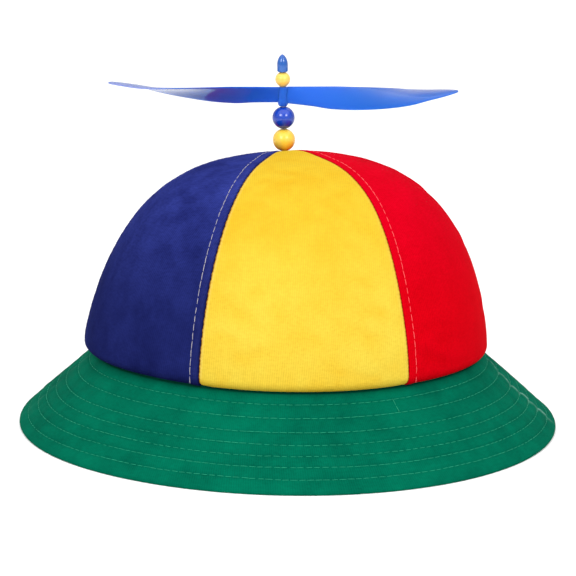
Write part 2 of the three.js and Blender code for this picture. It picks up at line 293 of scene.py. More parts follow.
def twillCloth(name, colour, pale, shadow, stainAndShadeTint, mottle, paintedTop=None):
    # the top tone is painted light: the top of the crown is painted in its own tone, lighter on the blue and
    # the red where more light falls on it, and a deeper orange on the yellow
    finish = Finish(name, **{"Roughness": 0.9, "Specular IOR Level": 0.008, "Sheen Weight": 0.008,
                             "Sheen Roughness": 0.4, "Sheen Tint": (*pale, 1)})
    weave = finish.attribute("weave", "Vector")
    ribs = finish.wave(weave, twill["ribTurn"], twill["ribPitch"], twill["ribWander"])
    yarns = finish.wave(weave, twill["yarnTurn"], twill["yarnPitch"], twill["yarnWander"])
    slubs = finish.noise(1, 3, 0.6, finish.laid(weave, Scale=twill["slubScale"]))
    height = finish.plus(finish.times(ribs, twill["ribHeight"]), finish.times(yarns, twill["yarnHeight"]))
    thick = finish.times(finish.minus(slubs, twill["slubLevel"]), twill["slubHeight"])
    height = finish.plus(height, thick)
    finish.emboss(height, twill["strength"], twill["relief"])
    ground = colour
    if paintedTop:
        ground = finish.mix(finish.climb(twill["paintedTopFrom"], twill["paintedTopTo"]), colour, paintedTop)
    dark = tuple(channel * (twill["shadeFloor"] + twill["shadeTint"] * tint)
                 for channel, tint in zip(colour, stainAndShadeTint))
    ribbed = finish.mix(finish.times(finish.minus(1, height), twill["shade"]), ground, dark)
    patches = finish.plus(*(finish.times(finish.noise(scale, detail), share)
                            for scale, detail, share in twill["patches"]))
    shade = finish.times(finish.minus(patches, twill["patchLevel"]), mottle * twill["patchGain"])
    # painted shade in the puckers and at the crown's foot, tinted like the mottling
    shade = finish.plus(shade, finish.times(finish.attribute("pucker"), twill["puckerShade"]))
    shade.node.use_clamp = True
    mottledAndShaded = finish.mix(shade, ribbed, stainAndShadeTint, "MULTIPLY")
    nips = finish.wave(weave, 90, twill["nipPitch"], twill["nipWander"])
    nips = finish.plus(1 - twill["nipDepth"], finish.times(nips, twill["nipDepth"]))
    # painted shade: a dark tone in the seam grooves, along the brim's stitch rows, under the crown and on the
    # hem's lower edge
    withShade = finish.mix(finish.times(finish.attribute("paintedShade"), nips), mottledAndShaded, shadow)
    # pale paint along the crown's seams and the brim's crease lines: a painted highlight and sheen, with some
    # wear on the brim
    sheenAndWearShare = finish.times(finish.attribute("sheenAndWear"), slubs)
    sheenAndWearShare.node.use_clamp = True
    finish.drive("Base Color", finish.mix(sheenAndWearShare, withShade, pale))
    return finish.material


def spunThread(name, colour, shadow):
    finish = Finish(name, **{"Roughness": 0.7, "Specular IOR Level": 0.04, "Sheen Weight": 0.02,
                             "Sheen Roughness": 0.4})
    plies, uneven = finish.noise(2600, 2, 0.6), finish.noise(160, 2, 0.5)
    finish.emboss(plies, 0.5, 0.0001)
    tone = finish.mix(uneven, shadow, colour)
    finish.drive("Base Color", finish.mix(finish.times(plies, 0.5), tone, shadow, "MULTIPLY"))
    return finish.material


def mouldedPlastic(name, colour, deep, roughness, sockets, fade=None, edgeShade=0.0, painted=None):
    # glossy moulding, a little translucent, with faint flow marks
    # fade gives the heights between which the deep tone at the foot, a painted shade (on the lower yellow
    # bead also a painted orange reflection of the crown), passes into the colour
    # the weight after fade paints shade on the sides turned away from the view, and painted lists attributes
    # with the tones that they bring in
    finish = Finish(name, **{"IOR": 1.5, "Subsurface Scale": 0.0025, "Subsurface Radius": (1, 0.8, 0.9),
                             **sockets})
    flow, skin = finish.noise(70, 2, 0.4), finish.noise(900, 2, 0.5)
    if fade:
        flow = finish.plus(finish.climb(*fade), finish.times(flow, 0.2))
        flow.node.use_clamp = True
    tone = finish.mix(flow, deep, colour)
    if edgeShade:
        facing = finish.add("LayerWeight", {"Blend": 0.5}, output="Facing")
        turned = finish.maths("POWER", facing, 1.6)
        tone = finish.mix(finish.times(turned, edgeShade), tone, deep)
    for key, paint in (painted or {}).items():
        tone = finish.mix(finish.attribute(key), tone, paint)
    finish.drive("Base Color", tone)
    finish.drive("Roughness", finish.plus(roughness - 0.03, finish.times(skin, 0.06)))
    finish.emboss(skin, 0.05, 0.00003)
    return finish.material


def drawnSteel(name):
    finish = Finish(name, **{"Metallic": 1.0, "Base Color": (0.30, 0.29, 0.28, 1)})
    finish.drive("Roughness", finish.plus(0.22, finish.times(finish.noise(1500, 3, 0.6), 0.2)))
    return finish.material


# the last tone given to a crown cloth is its painted top tone, which stands in for the light on the top of
# the crown
cloth = {
    "yellow": twillCloth("twillYellow", (0.665, 0.500, 0.053), (0.86, 0.74, 0.34), (0.24, 0.052, 0.010),
                         (0.97, 0.80, 0.45), 0.6, (0.63, 0.425, 0.025)),
    "red": twillCloth("twillRed", (0.56, 0.0002, 0.0055), (0.70, 0.08, 0.08), (0.060, 0.0005, 0.001),
                      (0.84, 0.6, 0.6), 0.6, (0.59, 0.0002, 0.0125)),
    "blue": twillCloth("twillBlue", (0.0112, 0.0165, 0.109), (0.07, 0.08, 0.27), (0.004, 0.005, 0.020),
                       (0.52, 0.52, 0.60), 0.9, (0.0290, 0.0420, 0.250)),
    "green": twillCloth("twillGreen", (0.0003, 0.137, 0.0755), (0.26, 0.50, 0.42), (0.0004, 0.030, 0.018),
                        (0.55, 0.66, 0.68), 0.9),
}
thread = {
    "blue": spunThread("threadOnBlue", (0.51, 0.48, 0.50), (0.34, 0.32, 0.36)),
    "red": spunThread("threadOnRed", (0.90, 0.17, 0.17), (0.74, 0.07, 0.08)),
    "green": spunThread("threadOnBrim", (0.030, 0.40, 0.235), (0.016, 0.25, 0.145)),
}
plastic = {
    # the beads and the cap are painted darker on their turned-away sides and at their foot, a painted shade;
    # the lower yellow bead's orange foot is also a painted reflection of the crown
    "beadYellow": mouldedPlastic(
        "beadYellow", (0.92, 0.63, 0.062), (0.90, 0.42, 0.018), 0.35,
        {"Subsurface Weight": 0.18, "Specular IOR Level": 0.3, "Coat Weight": 0.6, "Coat Roughness": 0.2},
        fade=(125, 133.5), edgeShade=0.5),
    "beadPale": mouldedPlastic(
        "beadPale", (0.88, 0.62, 0.125), (0.84, 0.50, 0.075), 0.35,
        {"Subsurface Weight": 0.25, "Specular IOR Level": 0.3, "Coat Weight": 0.5, "Coat Roughness": 0.22},
        edgeShade=0.4),
    "beadBlue": mouldedPlastic(
        "beadBlue", (0.003, 0.049, 0.455), (0.002, 0.013, 0.18), 0.3,
        {"Subsurface Weight": 0.1, "Specular IOR Level": 0.0, "Coat Weight": 1.0, "Coat IOR": 1.62,
         "Coat Roughness": 0.15},
        fade=(135, 143), edgeShade=0.9),
    # the blade is painted lighter near the hub, standing in for light through the plastic, and with a pale
    # painted reflection towards the tips
    "blade": mouldedPlastic(
        "bladeBlue", (0.006, 0.097, 0.44), (0.005, 0.084, 0.41), 0.09,
        {"Subsurface Weight": 0.7, "Specular IOR Level": 0.5, "Specular Tint": (0.2, 0.45, 1.0, 1)},
        painted={"paintedRootLight": (0.017, 0.108, 0.53), "paintedReflection": (0.34, 0.34, 0.48)}),
    "cap": mouldedPlastic(
        "capBlue", (0.004, 0.140, 0.56), (0.002, 0.052, 0.27), 0.2,
        {"Subsurface Weight": 0.15, "Specular IOR Level": 0.1, "Coat Weight": 1.0, "Coat IOR": 1.6,
         "Coat Roughness": 0.12},
        edgeShade=1.0),
}
# dark steel; its tone also stands in for the shade in the narrow gaps between the beads, where the pin shows
steel = drawnSteel("pinSteel")
print("materials: %d" % len(bpy.data.materials))


# Crown
crown = {
    "halfWidth": 94.7, "depthRatio": 1.06, "widestHeight": 41.3, "rise": 84.0,
    "shoulderPower": 3.19, "sidePower": 1.57, "peakRise": 3.8,
    "leanX": 1.5, "leanY": 5.2, "tiltLeft": 0.6, "tiltBack": 4.3,
    "footBulge": 2.4, "dropLeft": 2.9, "dropRight": 2.0, "tuck": 4.3,
    "pinShiftX": -3.2, "pinShiftY": 18.0, "gatherPower": 2.4, "dimpleDepth": 0.25, "dimpleWidth": 7.0,
    "sweepFrom": 30.0, "sweepFoot": 6.0, "sweepClimb": 18.0, "sweepFade": 0.15,  # side seams, degrees
    "tipRadius": 1.4, "wall": 1.5, "lap": 0.55,  # the seam allowance thickens the inside
    "footHeight": 8, "footRows": 13, "rows": 176, "midColumns": 34,
    "stitchInset": 4.1, "narrow": 10.0,  # topstitch from the seam, drawn in where a panel is narrower
    "jag": 0.32, "jagWidth": 0.6, "calmer": 0.3, "pressed": 0.4,  # edge between stitches, flatter seams
    # the strip and edge weights paint highlights on the blue's raised strip and on the yellow's seam edges;
    # the foot weights paint shade at the crown's foot
    "stripHighlight": 0.1, "edgeHighlight": 0.28, "footShadow": 0.06, "footShade": 2,
}
surface = {  # height of the cloth over the plain dome, beside a seam and further off
    "ridge": 0.28, "ridgeRise": 0.9, "ridgeFrom": -0.3, "ridgeTo": 2.2,  # from the row of stitches
    "groove": 0.55, "grooveWidth": 0.45, "valley": ((0.55, 0.4), (0.45, 3.0)),  # shares and widths
    "dip": 0.22, "dipWidth": 0.55, "pull": 0.25,
    "pucker": 0.16, "puckerWidth": 3.2, "openPucker": 0.12, "puckerPitch": 5.5, "puckerSpan": 60,
    "dent": 0.6, "dents": ((46, 3, 0.6), (21, 5, 0.22)),  # size, seed and share
}
stitch = {"pitch": 3.9, "length": 3.5, "thread": 0.32, "rise": 0.14, "sink": 0.12, "seed": 4,
          "fromFoot": 5.6, "fromTip": 5.5}
wrinkle = {  # short puckers that start beside a seam
    "count": 18, "depth": 0.24, "fromFoot": 8, "fromTip": 30,
    "inset": (7, 26), "reach": (7, 15), "width": (1.6, 3.6), "tilt": (-40, 30),  # tilt in degrees
    "swell": 0.7, "swellAside": 1.7,
}
seamColumns = [0, 0.12, 0.3, 0.5, 0.75, 1.1, 1.6, 2.2, 2.8, 3.3, 3.7, 4.1, 4.5, 4.9, 5.3, 5.9, 6.8, 8.0]
panels = {  # middle in degrees from the front towards +X, cloth, and which of its edges are topstitched
    "front": (0, "yellow", ()),
    "front_right": (60, "red", (-1, 1)),
    "back_right": (120, "blue", (1,)),
    "back": (180, "yellow", ()),
    "back_left": (240, "red", (-1,)),
    "front_left": (300, "blue", (-1, 1)),
}
halfWidth, halfDepth = crown["halfWidth"], crown["halfWidth"] * crown["depthRatio"]
tipSpread = crown["tipRadius"] / halfWidth


def domeLevel(spread):
    return np.clip(1 - np.minimum(spread, 1) ** crown["shoulderPower"], 0, 1) ** (1 / crown["sidePower"])


def bulgeAt(angle):
    return crown["footBulge"] * np.maximum(0, -np.sin(angle)) ** 6


def dropAt(angle):
    side = np.sin(angle)
    return np.where(side < 0, crown["dropLeft"], crown["dropRight"]) * side ** 6


def domePoint(angle, spread):
    level = domeLevel(spread)
    foot = (1 - level) ** 5
    x = (halfWidth + bulgeAt(angle) * foot) * spread * np.sin(angle)
    y = -halfDepth * spread * np.cos(angle)
    slope = x * math.tan(math.radians(crown["tiltLeft"])) - y * math.tan(math.radians(crown["tiltBack"]))
    z = (crown["widestHeight"] + crown["rise"] * level + level * level * (3 - 2 * level) * slope
         + crown["peakRise"] * (1 - spread) ** 3 - dropAt(angle) * foot)
    return stacked(x + crown["leanX"] * level ** 2, y + crown["leanY"] * level ** 2, z)


def sweptAngle(angle, spread):
    turn = np.arctan2(np.sin(angle), np.cos(angle))
    start = math.radians(crown["sweepFrom"])
    share = np.clip((np.abs(turn) - start) / (np.pi - 2 * start), 0, 1)
    swing = np.radians(crown["sweepFoot"] + crown["sweepClimb"] * (1 - spread))
    swing = swing * smoothStep(0, crown["sweepFade"], spread)
    return angle + np.sign(turn) * swing * np.sin(np.pi * share) ** 2


def crownPoint(angle, spread, curl):
    # the panels climb the dome and gather at the pin, behind the middle of the top
    angle, spread, curl = np.broadcast_arrays(*(np.asarray(value, float) for value in (angle, spread, curl)))
    angle = sweptAngle(angle, spread)
    gather = np.clip((1 - spread) / (1 - tipSpread), 0, 1) ** crown["gatherPower"]
    lean = domeLevel(spread) ** 2
    planX = halfWidth * spread * np.sin(angle) + crown["leanX"] * lean + crown["pinShiftX"] * gather
    planY = crown["leanY"] * lean + crown["pinShiftY"] * gather - halfDepth * spread * np.cos(angle)
    domeSpread, domeAngle = spread, angle
    for _ in range(6):
        lean = domeLevel(domeSpread) ** 2
        across = (planX - crown["leanX"] * lean) / halfWidth
        forward = (crown["leanY"] * lean - planY) / halfDepth
        domeSpread = np.minimum(1, np.hypot(across, forward))
        domeAngle = np.arctan2(across, forward)
    point = domePoint(domeAngle, domeSpread)
    inset = (crown["tuck"] + bulgeAt(angle)) * (1 - np.sqrt(1 - np.minimum(curl, 1) ** 2))
    dimple = crown["dimpleDepth"] * np.exp(-(spread * halfWidth / crown["dimpleWidth"]) ** 2)
    point[..., 0] -= inset * np.sin(angle)
    point[..., 1] += inset * np.cos(angle)
    point[..., 2] -= crown["tuck"] * curl + dimple
    return point


def crownMeridian():
    # climb along the cloth against spread and curl, from the foot to the pin
    turn = np.linspace(np.pi / 2, 0, 60)
    rise = np.linspace(0, math.acos(tipSpread ** (crown["shoulderPower"] / 2)), 4000)[1:]
    domeSpread = np.cos(rise) ** (2 / crown["shoulderPower"])
    spread = np.concatenate([np.ones(60), domeSpread])
    curl = np.concatenate([np.sin(turn), np.zeros(len(rise))])
    out = np.concatenate([-crown["tuck"] * (1 - np.cos(turn)), halfWidth * (domeSpread - 1)])
    up = np.concatenate([-crown["tuck"] * np.sin(turn), crown["rise"] * domeLevel(domeSpread)])
    climb = np.concatenate([[0], np.cumsum(np.hypot(np.diff(out), np.diff(up)))])
    return climb, spread, curl


meridian = crownMeridian()
crownClimb = meridian[0][-1]


def crownAt(angle, climb):
    climb = np.clip(climb, 0, crownClimb)
    spread, curl = (np.interp(climb, meridian[0], row) for row in meridian[1:])
    return crownPoint(angle, spread, curl)


def crownNormal(angle, climb):
    across = crownAt(angle + 0.002, climb) - crownAt(angle - 0.002, climb)
    upwards = crownAt(angle, climb + 0.3) - crownAt(angle, climb - 0.3)
    normal = np.cross(across, upwards)
    return normal / np.linalg.norm(normal, axis=-1, keepdims=True)


def panelHalfWidth(climb):
    return np.pi / 6 * halfWidth * np.interp(climb, meridian[0], meridian[1])


def seamScale(climb):
    return np.minimum(1, panelHalfWidth(climb) / crown["narrow"])


def clothRelief(point, fromSeam, climb, isStitched, depth=1.0):
    # height of the outside over the plain dome, in millimetres
    near = fromSeam / seamScale(climb)
    span = surface["puckerSpan"]
    pucker = latticeNoise(
        stacked(climb / surface["puckerPitch"], point[..., 0] / span, point[..., 1] / span), 1, 11)
    if isStitched:
        row = crown["stitchInset"]
        pull = 1 - surface["pull"] + surface["pull"] * np.cos(2 * np.pi * climb / stitch["pitch"])
        fade = 1 - smoothStep(row + surface["ridgeFrom"], row + surface["ridgeTo"], near)
        seam = (surface["ridge"] * smoothStep(0, surface["ridgeRise"], near) * fade
                - depth * surface["groove"] * bump(near, 0, surface["grooveWidth"])
                - surface["dip"] * pull * bump(near, row, surface["dipWidth"])
                + surface["pucker"] * pucker * bump(near, row, surface["puckerWidth"]))
    else:
        valley = sum(share * bump(near, 0, width) for share, width in surface["valley"])
        seam = -depth * surface["groove"] * valley + surface["openPucker"] * pucker * bump(near, 2, 3)
    calm = smoothStep(0, 22, crownClimb - climb) * smoothStep(0, 8, climb)
    dents = sum(share * latticeNoise(point, size, seed) for size, seed, share in surface["dents"])
    return seam * smoothStep(0, 7, crownClimb - climb) + surface["dent"] * dents * calm


def panelWrinkles(across, climb, seed):
    # 0 on smooth cloth and 1 in a pucker, with a low swell beside each
    dice = np.random.default_rng(seed)
    total = np.zeros_like(across)
    for _ in range(wrinkle["count"]):
        side = dice.choice((-1, 1))
        height = dice.uniform(wrinkle["fromFoot"], crownClimb - wrinkle["fromTip"])
        inset, reach, width, tilt = (
            dice.uniform(*wrinkle[key]) for key in ("inset", "reach", "width", "tilt"))
        tilt = side * math.radians(tilt)
        aheadX, aheadY = across - side * (panelHalfWidth(height) - inset), climb - height
        along = aheadX * math.cos(tilt) + aheadY * math.sin(tilt)
        aside = aheadY * math.cos(tilt) - aheadX * math.sin(tilt)
        swell = wrinkle["swell"] * bump(aside, wrinkle["swellAside"] * width, width)
        total += width / 3 * bump(along, 0, reach) * (bump(aside, 0, width) - swell)
    calm = smoothStep(3, 12, climb) * smoothStep(10, 35, crownClimb - climb)
    return total * smoothStep(4.9, 9, panelHalfWidth(climb) - np.abs(across)) * calm


def makePanel(name):
    middle, colour, stitched = panels[name]
    foot = np.linspace(0, crown["footHeight"], crown["footRows"])[:-1]
    climb = np.concatenate([foot, np.linspace(crown["footHeight"], crownClimb, crown["rows"])])[:, None]
    half, scale = panelHalfWidth(climb), seamScale(climb)
    near = np.array(seamColumns)[None, :] * scale
    inner = np.linspace(0, 1, crown["midColumns"] + 2)[1:-1][None, :]
    share = near[:, -1:] + (2 * half - 2 * near[:, -1:]) * inner
    across = np.concatenate([near, share, (2 * half - near)[:, ::-1]], axis=1) - half  # from the middle
    climbs = np.broadcast_to(climb, across.shape)
    isLeft, fromLeft, fromRight = across < 0, half + across, half - across
    fromSeam = np.minimum(fromLeft, fromRight)
    close = fromSeam / scale
    jag = crown["jag"] * np.abs(np.sin(np.pi * climb / stitch["pitch"])) * scale
    calmer = np.where(isLeft, 1, crown["calmer"])  # the right seam is pressed flatter than the left one
    edge = bump(fromSeam, 0, crown["jagWidth"]) * (0 if stitched else jag * calmer)
    angle = math.radians(middle) + (across - edge * np.sign(across)) / half * np.pi / 6
    base, normal = crownAt(angle, climbs), crownNormal(angle, climbs)
    reliefs = []
    for side, distance in ((-1, fromLeft), (1, fromRight)):
        isPressed = colour == "red" if side < 0 else not stitched  # red to yellow seams lie flatter
        depth = crown["pressed"] if isPressed else 1
        reliefs.append(clothRelief(base, distance, climbs, side in stitched, depth))
    relief = np.where(isLeft, *reliefs)
    puckers = panelWrinkles(across, climbs, 7 + middle)
    outside = base + normal * (relief - wrinkle["depth"] * puckers)[..., None]
    lap = crown["lap"] * smoothStep(0.2, 0.8, close) * (1 - smoothStep(5.3, 5.7, close))
    inside = base - normal * (crown["wall"] + np.maximum(0, -relief) * 0.5 + lap)[..., None]
    rows, columns = across.shape
    points = np.concatenate([outside, inside[:, ::-1]], axis=1)
    faces = shellFaces(rows, 2 * columns)
    weave = stacked(across, climbs, 0 * across)
    # painted highlight: the blue's raised strip between the seam and the stitches, and the yellow's seam
    # edges, are painted paler
    if stitched:
        sheenAndWear = crown["stripHighlight"] * bump(close, 1.6, 1.1) * (colour == "blue")
        crease = bump(close, 0, 0.3)
    else:
        sheenAndWear = crown["edgeHighlight"] * calmer * bump(close, 1.2, 0.5)
        crease = np.where(isLeft, bump(close, 0, 0.8), 0.7 * bump(close, 0, 0.5))
    sheenAndWear = sheenAndWear * smoothStep(3, 10, climbs)
    # painted shade in the seam groove and at the crown's foot
    paintedShade = crease * smoothStep(0, 6, crownClimb - climbs) + crown["footShadow"] * bump(climbs, 0, 3)
    # painted shade at the crown's foot, carried along with the puckers' painted shade
    puckers = puckers + crown["footShade"] * bump(climbs, 0, 6)
    blank = np.zeros_like(sheenAndWear)
    return makePiece("panel_" + name, points, faces, cloth[colour], {
        "weave": np.concatenate([weave, weave[:, ::-1]], axis=1),
        "sheenAndWear": np.concatenate([sheenAndWear, blank], axis=1),
        "pucker": np.clip(np.concatenate([puckers, blank], axis=1), -0.5, 2),
        "paintedShade": np.clip(np.concatenate([paintedShade, paintedShade[:, ::-1]], axis=1), 0, 1),
    })


for panelName, panel in panels.items():
    settle(makePanel(panelName), "hat", "crown_panel_" + panelName)
print("crown: %d panels" % len(panels))


# Brim
brim = {
    "reach": 34.0, "wall": 2.4, "seamGap": 0.4, "edge": 0.9, "upstand": 2.6,
    "sides": 520, "topColumns": 92, "hemColumns": 9, "underColumns": 58,
    "rows": [6.3, 13.5, 21.1, 27.2, 33.0, 38.7, 44.9],  # stitch rows, along the slope from the crown
    "groove": 0.3, "grooveWidth": 0.75, "puff": 0.2, "hemRound": 1.15, "hemEnd": 55.5,
    "wave": 0.32, "waves": ((26, 21, 0.6), (13, 22, 0.4)),  # size, seed and share
    "pucker": 0.2, "puckerPitch": 5, "puckerRadius": 105, "underQuilt": 0.75, "underWave": 0.3,
    # the crease strokes are painted pale, a painted sheen as well as wear
    "creaseWidth": 1.3, "creaseLift": 0.25, "creaseRadius": 115, "creaseWander": 0.5, "rowSheenAndWear": 0.6,
    # the row and hem weights paint shade along the stitch rows and on the hem's lower edge
    "rowShade": 0.22, "hemShade": 0.9, "weaveRadius": 118,
    "swing": 5.0, "swingPower": 4,  # left edge pulled forward
}
creases = {  # crease lines down the brim, painted pale (a painted sheen, with wear) and lifted a little: places along the slope and their turn in degrees, then the strength of the pale paint and the step aside (mm) of each stroke between two stitch rows
    # then the wear and the step aside (mm) of each stroke between two stitch rows
    "right": ([0, 7, 13, 19.5, 25.5, 32.5, 39, 55], [88, 86, 81, 79, 79.5, 79.8, 79.8, 79.8],
              [0.45, 0.8, 1.0, 0.85, 1.0, 0.6, 0.85, 0.4], [0.6, -0.7, 0.9, -0.6, 0.8, -0.8, 0.5, 0.0]),
    "left": ([0, 14, 22, 30, 38, 55], [-94, -93.8, -93, -91.8, -91.2, -90.5],
             [0.08, 0.14, 0.10, 0.16, 0.08, 0.12, 0.10, 0.05], [0.5, -0.6, 0.7, -0.4, 0.6, -0.7, 0.3, 0.0]),
}


def brimLine(angle):
    seamHeight = crown["widestHeight"] - crown["tuck"] - brim["seamGap"] - dropAt(angle)
    run, fall = brim["reach"] + crown["tuck"], seamHeight - brim["edge"]
    length = np.hypot(run, fall)
    return seamHeight, run / length, fall / length, length


def nearRow(down, width):
    return sum(bump(down, row, width) for row in brim["rows"])


def quilt(down):
    # grooves at the stitch rows and soft puffs between them
    ends = np.array([-2.5, *brim["rows"], brim["hemEnd"]])
    spot = np.clip(np.searchsorted(ends, down) - 1, 0, len(ends) - 2)
    share = (down - ends[spot]) / (ends[spot + 1] - ends[spot])
    puff = brim["puff"] * np.sin(np.pi * np.clip(share, 0, 1))
    return puff - brim["groove"] * nearRow(down, brim["grooveWidth"])


def fromCrease(crease, angle, down):
    # millimetres past a crease line, and the strength of the stroke at that place, which weighs its painted
    # sheen and wear and its lift
    places, turns, strokes, steps = crease
    turn = np.radians(np.interp(down, places, turns))
    spot = np.searchsorted(brim["rows"], down)
    aside = np.arctan2(np.sin(angle - turn), np.cos(angle - turn)) * brim["creaseRadius"] * np.sign(turn)
    return aside - np.array(steps)[spot], np.array(strokes)[spot]


def creaseAt(angle, down):
    # strokes of a crease line, painted pale and lifting the cloth, weaker where they cross a stitch row
    wander = brim["creaseWander"] * latticeNoise(stacked(down / 1.5, 0 * down, 0 * angle), 1, 51)
    total = 0
    for crease in creases.values():
        aside, sheenAndWear = fromCrease(crease, angle, down)
        stroke = bump(aside, wander, brim["creaseWidth"]) + 0.5 * bump(aside, 0.8 + wander, 0.5)
        total = total + sheenAndWear * stroke
    return total * (1 - 0.5 * nearRow(down, 0.8))


def paleRowsAtCreases(angle, down):
    # rows painted pale where they meet a crease line, a painted sheen on the rows as well as wear
    total = 0
    for crease in creases.values():
        aside, sheenAndWear = fromCrease(crease, angle, down)
        total = total + sheenAndWear * smoothStep(-7, -1.5, aside) * smoothStep(1.5, 0, aside)
    return total * nearRow(down, 0.45)


def brimRelief(angle, down, length):
    flat = stacked(np.cos(angle) * 60, np.sin(angle) * 60, down)
    wave = sum(share * latticeNoise(flat, size, seed) for size, seed, share in brim["waves"])
    radius, pitch = brim["puckerRadius"], brim["puckerPitch"]
    pucker = latticeNoise(
        stacked(np.cos(angle) * radius / pitch, np.sin(angle) * radius / pitch, down / 11), 1, 23)
    calm = smoothStep(0, 5, down) * (1 - smoothStep(length - 7, length - 1.5, down))
    return quilt(down) + calm * (brim["wave"] * wave + brim["pucker"] * pucker
                                 + brim["creaseLift"] * creaseAt(angle, down))


def underLift(angle, down, length):
    # the lower ply follows the stitches and, more softly, the waves
    return (-brim["wall"] - brim["underQuilt"] * quilt(down)
            - brim["underWave"] * brimRelief(angle, down, length))


def brimPoint(angle, down, lift):
    # a place along the slope and its height over it
    seamHeight, run, fall, _ = brimLine(angle)
    reach = -crown["tuck"] + down * run + lift * fall
    height = seamHeight - down * fall + lift * run
    x = (halfWidth + reach) * np.sin(angle)
    swing = brim["swing"] * np.maximum(0, -np.sin(angle)) ** brim["swingPower"]
    y = (-(halfDepth + reach) * np.cos(angle)
         - swing * (reach + crown["tuck"]) / (brim["reach"] + crown["tuck"]))
    return stacked(x, y, height)


def brimSlope(angle):
    _, run, fall, _ = brimLine(angle)
    return stacked(np.sin(angle) * fall, -np.cos(angle) * fall, run)


def makeBrim():
    angle = np.linspace(0, 2 * np.pi, brim["sides"], endpoint=False)[:, None]
    length = brimLine(angle)[3]
    wall = brim["wall"]
    slope = length - brim["hemRound"]
    ringTop = np.linspace(0, 1, brim["topColumns"])[None, :] * slope
    top = brimPoint(angle, ringTop, brimRelief(angle, ringTop, length))
    turn = np.radians(np.linspace(80, -80, brim["hemColumns"]))[None, :]
    hemDown = slope + brim["hemRound"] * np.cos(turn)
    hem = brimPoint(angle, hemDown, -wall / 2 + wall / 2 * np.sin(turn) + 0.12 * np.sin(turn))
    back = np.linspace(1, 0, brim["underColumns"])[None, :] * slope
    under = brimPoint(angle, back, underLift(angle, back, length))
    rise = np.array([[0.35, 0.7, 1.0]]) * brim["upstand"]
    level = np.zeros((brim["sides"], rise.size))
    innerUp = brimPoint(angle, level - 0.9, -wall * 0.8 + rise)
    outerUp = brimPoint(angle, level - 0.15, rise[:, ::-1] * 0.95)
    points = np.concatenate([top, hem, under, innerUp, outerUp], axis=1)
    points[..., 2] = np.maximum(points[..., 2], 0)
    rows, columns = points.shape[:2]
    down = np.concatenate([ringTop, hemDown, back, level - 1.5, level - 1], axis=1)
    weave = stacked(np.broadcast_to(angle * brim["weaveRadius"], down.shape), down, 0 * down)
    broken = np.clip(0.6 + 0.55 * latticeNoise(stacked(down / 2.6, angle * 60, 0 * down), 1, 33), 0, 1)
    onTop = np.arange(columns)[None, :] < brim["topColumns"]
    # painted sheen, with some wear: pale strokes along the crease lines and on the rows beside them
    sheenAndWear = onTop * broken * (creaseAt(angle, down) + brim["rowSheenAndWear"] * paleRowsAtCreases(angle, down))
    # painted shade along the stitch rows and under the crown's foot
    paintedShade = brim["rowShade"] * nearRow(down, 0.6) + bump(down, 0, 1.5)
    hemPart = slice(brim["topColumns"], brim["topColumns"] + brim["hemColumns"])
    paintedShade[:, hemPart] += brim["hemShade"] * smoothStep(30, -50, np.degrees(turn))  # shaded lower edge
    faces = loopFaces(rows, columns, True)
    weave = weave.reshape(-1, 3)[faces]
    weave[-columns:, 2:, 0] += 2 * np.pi * brim["weaveRadius"]  # the last strip joins the first
    return makePiece("quilted_brim", points, faces, cloth["green"],
                     {"weave": weave, "sheenAndWear": sheenAndWear, "paintedShade": np.clip(paintedShade, 0, 1)})


settle(makeBrim(), "hat", "brim")
print("brim: made")


